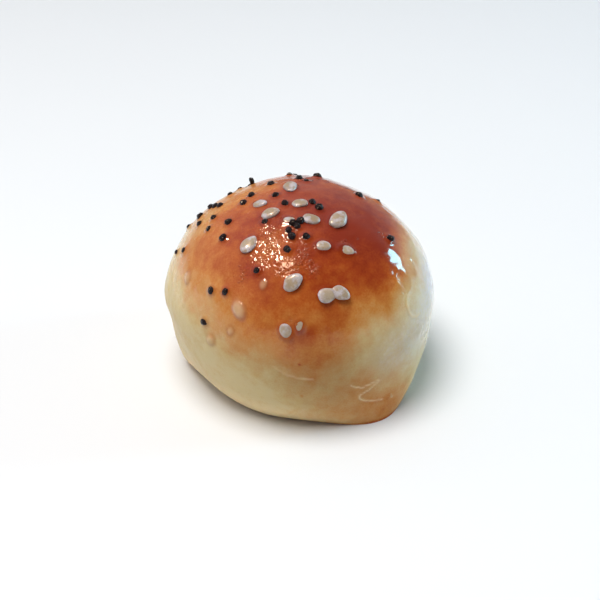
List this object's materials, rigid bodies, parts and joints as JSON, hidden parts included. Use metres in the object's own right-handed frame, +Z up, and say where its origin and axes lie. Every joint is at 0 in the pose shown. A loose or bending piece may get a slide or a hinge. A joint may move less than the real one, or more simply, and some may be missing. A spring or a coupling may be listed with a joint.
{
  "type": "bread roll",
  "caption": "Small ball-shaped bread roll with a glossy browned crown, sprinkled with white and dark seeds, standing on a flat baked foot.",
  "frame": {"origin": "on the flat foot's level, under the middle of the roll's outline box", "axes": "+Z up, -Y the front, where the white seeds are largest, +X the right, where the lower side is fullest"},
  "size_m": [0.0456, 0.045, 0.0348],
  "materials": {
    "crust": "glazed baked crust, red-brown on the crown and pale cream low on the sides",
    "white_seed": "hulled sesame seed, satin",
    "dark_seed": "blue-black seed, wet with glaze"
  },
  "bodies": {
    "root": {"bread_roll": "crust"}
  },
  "joints": []
}
